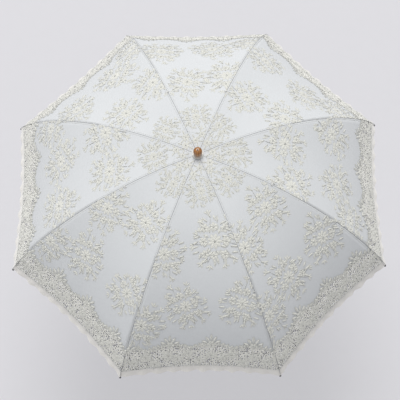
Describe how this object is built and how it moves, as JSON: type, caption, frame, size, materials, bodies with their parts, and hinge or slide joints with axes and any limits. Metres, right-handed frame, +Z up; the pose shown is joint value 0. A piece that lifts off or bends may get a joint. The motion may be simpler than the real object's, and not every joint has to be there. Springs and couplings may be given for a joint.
{
  "type": "lace parasol",
  "caption": "Open stick parasol with a white embroidered lace canopy, wooden ball finial, sliding runner, folding ribs and stretchers, and a straight wooden handle.",
  "frame": {"origin": "centre of the handle's bottom end", "axes": "+Z up the shaft to the finial; ribs stand 22.5 degrees from +X and every 45 degrees after it; the catches face +X"},
  "size_m": [0.8828, 0.8828, 0.853],
  "materials": {
    "lace_cloth": "matte white cotton with cream corded lace",
    "finial_wood": "clear-varnished orange-brown turned wood",
    "stick_wood": "satin-varnished pale brown wood",
    "ivory_rosette": "smooth ivory washer",
    "rib_paint": "white enamelled steel",
    "nickel": "nickel-plated steel, lightly worn",
    "brass": "polished brass, lightly aged",
    "black_bead": "glossy black bead"
  },
  "bodies": {
    "frame": {"shaft": "stick_wood", "crown": "nickel", "crown_wire": "nickel", "finial": "finial_wood", "finial_rosette": "ivory_rosette", "handle": "finial_wood", "collar": "brass", "shaft_pins": "nickel"},
    "runner": {"runner": "nickel", "runner_wire": "nickel"},
    "top_catch": {"top_catch": "nickel"},
    "bottom_catch": {"bottom_catch": "nickel"},
    "rib_1": {"rib_1": "rib_paint", "rivet_1": "nickel", "gore_1": "lace_cloth"},
    "rib_end_1": {"rib_end_1": "rib_paint", "tip_bead_1": "black_bead"},
    "stretcher_1": {"stretcher_1": "rib_paint"},
    "rib_2": {"rib_2": "rib_paint", "rivet_2": "nickel", "gore_2": "lace_cloth"},
    "rib_end_2": {"rib_end_2": "rib_paint", "tip_bead_2": "black_bead"},
    "stretcher_2": {"stretcher_2": "rib_paint"},
    "rib_3": {"rib_3": "rib_paint", "rivet_3": "nickel", "gore_3": "lace_cloth"},
    "rib_end_3": {"rib_end_3": "rib_paint", "tip_bead_3": "black_bead"},
    "stretcher_3": {"stretcher_3": "rib_paint"},
    "rib_4": {"rib_4": "rib_paint", "rivet_4": "nickel", "gore_4": "lace_cloth"},
    "rib_end_4": {"rib_end_4": "rib_paint", "tip_bead_4": "black_bead"},
    "stretcher_4": {"stretcher_4": "rib_paint"},
    "rib_5": {"rib_5": "rib_paint", "rivet_5": "nickel", "gore_5": "lace_cloth"},
    "rib_end_5": {"rib_end_5": "rib_paint", "tip_bead_5": "black_bead"},
    "stretcher_5": {"stretcher_5": "rib_paint"},
    "rib_6": {"rib_6": "rib_paint", "rivet_6": "nickel", "gore_6": "lace_cloth"},
    "rib_end_6": {"rib_end_6": "rib_paint", "tip_bead_6": "black_bead"},
    "stretcher_6": {"stretcher_6": "rib_paint"},
    "rib_7": {"rib_7": "rib_paint", "rivet_7": "nickel", "gore_7": "lace_cloth"},
    "rib_end_7": {"rib_end_7": "rib_paint", "tip_bead_7": "black_bead"},
    "stretcher_7": {"stretcher_7": "rib_paint"},
    "rib_8": {"rib_8": "rib_paint", "rivet_8": "nickel", "gore_8": "lace_cloth"},
    "rib_end_8": {"rib_end_8": "rib_paint", "tip_bead_8": "black_bead"},
    "stretcher_8": {"stretcher_8": "rib_paint"}
  },
  "joints": [
    {"name": "runner_slide", "type": "slide", "parent": "frame", "child": "runner", "axis": [0, 0, -1], "range_m": [0, 0.3806], "deforming": ["gore_1", "gore_2", "gore_3", "gore_4", "gore_5", "gore_6", "gore_7", "gore_8", "top_catch", "bottom_catch"]},
    {"name": "top_catch_press", "type": "hinge", "parent": "frame", "child": "top_catch", "pos_m": [0.0024, 0, 0.67955], "axis": [0, -1, 0], "range_deg": [0, 6], "stiffness_Nm_per_rad": 1, "springref_deg": -1.72},
    {"name": "bottom_catch_press", "type": "hinge", "parent": "frame", "child": "bottom_catch", "pos_m": [0.0024, 0, 0.31625], "axis": [0, -1, 0], "range_deg": [0, 6], "stiffness_Nm_per_rad": 1, "springref_deg": -1.72},
    {"name": "rib_1_fold", "type": "hinge", "parent": "frame", "child": "rib_1", "pos_m": [0.0097, 0.00402, 0.827], "axis": [-0.3827, 0.9239, 0], "range_deg": [0, 77.77]},
    {"name": "rib_end_1_flex", "type": "hinge", "parent": "rib_1", "child": "rib_end_1", "pos_m": [0.21942, 0.09089, 0.78697], "axis": [0.3827, -0.9239, 0], "range_deg": [0, 35.27]},
    {"name": "stretcher_1_fold", "type": "hinge", "parent": "rib_1", "child": "stretcher_1", "pos_m": [0.21942, 0.09089, 0.78697], "axis": [0.3827, -0.9239, 0], "range_deg": [0, 155.53]},
    {"name": "rib_2_fold", "type": "hinge", "parent": "frame", "child": "rib_2", "pos_m": [0.00402, 0.0097, 0.827], "axis": [-0.9239, 0.3827, 0], "range_deg": [0, 77.77]},
    {"name": "rib_end_2_flex", "type": "hinge", "parent": "rib_2", "child": "rib_end_2", "pos_m": [0.09089, 0.21942, 0.78697], "axis": [0.9239, -0.3827, 0], "range_deg": [0, 35.27]},
    {"name": "stretcher_2_fold", "type": "hinge", "parent": "rib_2", "child": "stretcher_2", "pos_m": [0.09089, 0.21942, 0.78697], "axis": [0.9239, -0.3827, 0], "range_deg": [0, 155.53]},
    {"name": "rib_3_fold", "type": "hinge", "parent": "frame", "child": "rib_3", "pos_m": [-0.00402, 0.0097, 0.827], "axis": [-0.9239, -0.3827, 0], "range_deg": [0, 77.77]},
    {"name": "rib_end_3_flex", "type": "hinge", "parent": "rib_3", "child": "rib_end_3", "pos_m": [-0.09089, 0.21942, 0.78697], "axis": [0.9239, 0.3827, 0], "range_deg": [0, 35.27]},
    {"name": "stretcher_3_fold", "type": "hinge", "parent": "rib_3", "child": "stretcher_3", "pos_m": [-0.09089, 0.21942, 0.78697], "axis": [0.9239, 0.3827, 0], "range_deg": [0, 155.53]},
    {"name": "rib_4_fold", "type": "hinge", "parent": "frame", "child": "rib_4", "pos_m": [-0.0097, 0.00402, 0.827], "axis": [-0.3827, -0.9239, 0], "range_deg": [0, 77.77]},
    {"name": "rib_end_4_flex", "type": "hinge", "parent": "rib_4", "child": "rib_end_4", "pos_m": [-0.21942, 0.09089, 0.78697], "axis": [0.3827, 0.9239, 0], "range_deg": [0, 35.27]},
    {"name": "stretcher_4_fold", "type": "hinge", "parent": "rib_4", "child": "stretcher_4", "pos_m": [-0.21942, 0.09089, 0.78697], "axis": [0.3827, 0.9239, 0], "range_deg": [0, 155.53]},
    {"name": "rib_5_fold", "type": "hinge", "parent": "frame", "child": "rib_5", "pos_m": [-0.0097, -0.00402, 0.827], "axis": [0.3827, -0.9239, 0], "range_deg": [0, 77.77]},
    {"name": "rib_end_5_flex", "type": "hinge", "parent": "rib_5", "child": "rib_end_5", "pos_m": [-0.21942, -0.09089, 0.78697], "axis": [-0.3827, 0.9239, 0], "range_deg": [0, 35.27]},
    {"name": "stretcher_5_fold", "type": "hinge", "parent": "rib_5", "child": "stretcher_5", "pos_m": [-0.21942, -0.09089, 0.78697], "axis": [-0.3827, 0.9239, 0], "range_deg": [0, 155.53]},
    {"name": "rib_6_fold", "type": "hinge", "parent": "frame", "child": "rib_6", "pos_m": [-0.00402, -0.0097, 0.827], "axis": [0.9239, -0.3827, 0], "range_deg": [0, 77.77]},
    {"name": "rib_end_6_flex", "type": "hinge", "parent": "rib_6", "child": "rib_end_6", "pos_m": [-0.09089, -0.21942, 0.78697], "axis": [-0.9239, 0.3827, 0], "range_deg": [0, 35.27]},
    {"name": "stretcher_6_fold", "type": "hinge", "parent": "rib_6", "child": "stretcher_6", "pos_m": [-0.09089, -0.21942, 0.78697], "axis": [-0.9239, 0.3827, 0], "range_deg": [0, 155.53]},
    {"name": "rib_7_fold", "type": "hinge", "parent": "frame", "child": "rib_7", "pos_m": [0.00402, -0.0097, 0.827], "axis": [0.9239, 0.3827, 0], "range_deg": [0, 77.77]},
    {"name": "rib_end_7_flex", "type": "hinge", "parent": "rib_7", "child": "rib_end_7", "pos_m": [0.09089, -0.21942, 0.78697], "axis": [-0.9239, -0.3827, 0], "range_deg": [0, 35.27]},
    {"name": "stretcher_7_fold", "type": "hinge", "parent": "rib_7", "child": "stretcher_7", "pos_m": [0.09089, -0.21942, 0.78697], "axis": [-0.9239, -0.3827, 0], "range_deg": [0, 155.53]},
    {"name": "rib_8_fold", "type": "hinge", "parent": "frame", "child": "rib_8", "pos_m": [0.0097, -0.00402, 0.827], "axis": [0.3827, 0.9239, 0], "range_deg": [0, 77.77]},
    {"name": "rib_end_8_flex", "type": "hinge", "parent": "rib_8", "child": "rib_end_8", "pos_m": [0.21942, -0.09089, 0.78697], "axis": [-0.3827, -0.9239, 0], "range_deg": [0, 35.27]},
    {"name": "stretcher_8_fold", "type": "hinge", "parent": "rib_8", "child": "stretcher_8", "pos_m": [0.21942, -0.09089, 0.78697], "axis": [-0.3827, -0.9239, 0], "range_deg": [0, 155.53]}
  ],
  "couplings": [
    {"joint": "rib_1_fold", "follows": "runner_slide", "rad_per_m": 3.566},
    {"joint": "rib_end_1_flex", "follows": "runner_slide", "rad_per_m": 1.617},
    {"joint": "stretcher_1_fold", "follows": "runner_slide", "rad_per_m": 7.1319},
    {"joint": "rib_2_fold", "follows": "runner_slide", "rad_per_m": 3.566},
    {"joint": "rib_end_2_flex", "follows": "runner_slide", "rad_per_m": 1.617},
    {"joint": "stretcher_2_fold", "follows": "runner_slide", "rad_per_m": 7.1319},
    {"joint": "rib_3_fold", "follows": "runner_slide", "rad_per_m": 3.566},
    {"joint": "rib_end_3_flex", "follows": "runner_slide", "rad_per_m": 1.617},
    {"joint": "stretcher_3_fold", "follows": "runner_slide", "rad_per_m": 7.1319},
    {"joint": "rib_4_fold", "follows": "runner_slide", "rad_per_m": 3.566},
    {"joint": "rib_end_4_flex", "follows": "runner_slide", "rad_per_m": 1.617},
    {"joint": "stretcher_4_fold", "follows": "runner_slide", "rad_per_m": 7.1319},
    {"joint": "rib_5_fold", "follows": "runner_slide", "rad_per_m": 3.566},
    {"joint": "rib_end_5_flex", "follows": "runner_slide", "rad_per_m": 1.617},
    {"joint": "stretcher_5_fold", "follows": "runner_slide", "rad_per_m": 7.1319},
    {"joint": "rib_6_fold", "follows": "runner_slide", "rad_per_m": 3.566},
    {"joint": "rib_end_6_flex", "follows": "runner_slide", "rad_per_m": 1.617},
    {"joint": "stretcher_6_fold", "follows": "runner_slide", "rad_per_m": 7.1319},
    {"joint": "rib_7_fold", "follows": "runner_slide", "rad_per_m": 3.566},
    {"joint": "rib_end_7_flex", "follows": "runner_slide", "rad_per_m": 1.617},
    {"joint": "stretcher_7_fold", "follows": "runner_slide", "rad_per_m": 7.1319},
    {"joint": "rib_8_fold", "follows": "runner_slide", "rad_per_m": 3.566},
    {"joint": "rib_end_8_flex", "follows": "runner_slide", "rad_per_m": 1.617},
    {"joint": "stretcher_8_fold", "follows": "runner_slide", "rad_per_m": 7.1319}
  ]
}
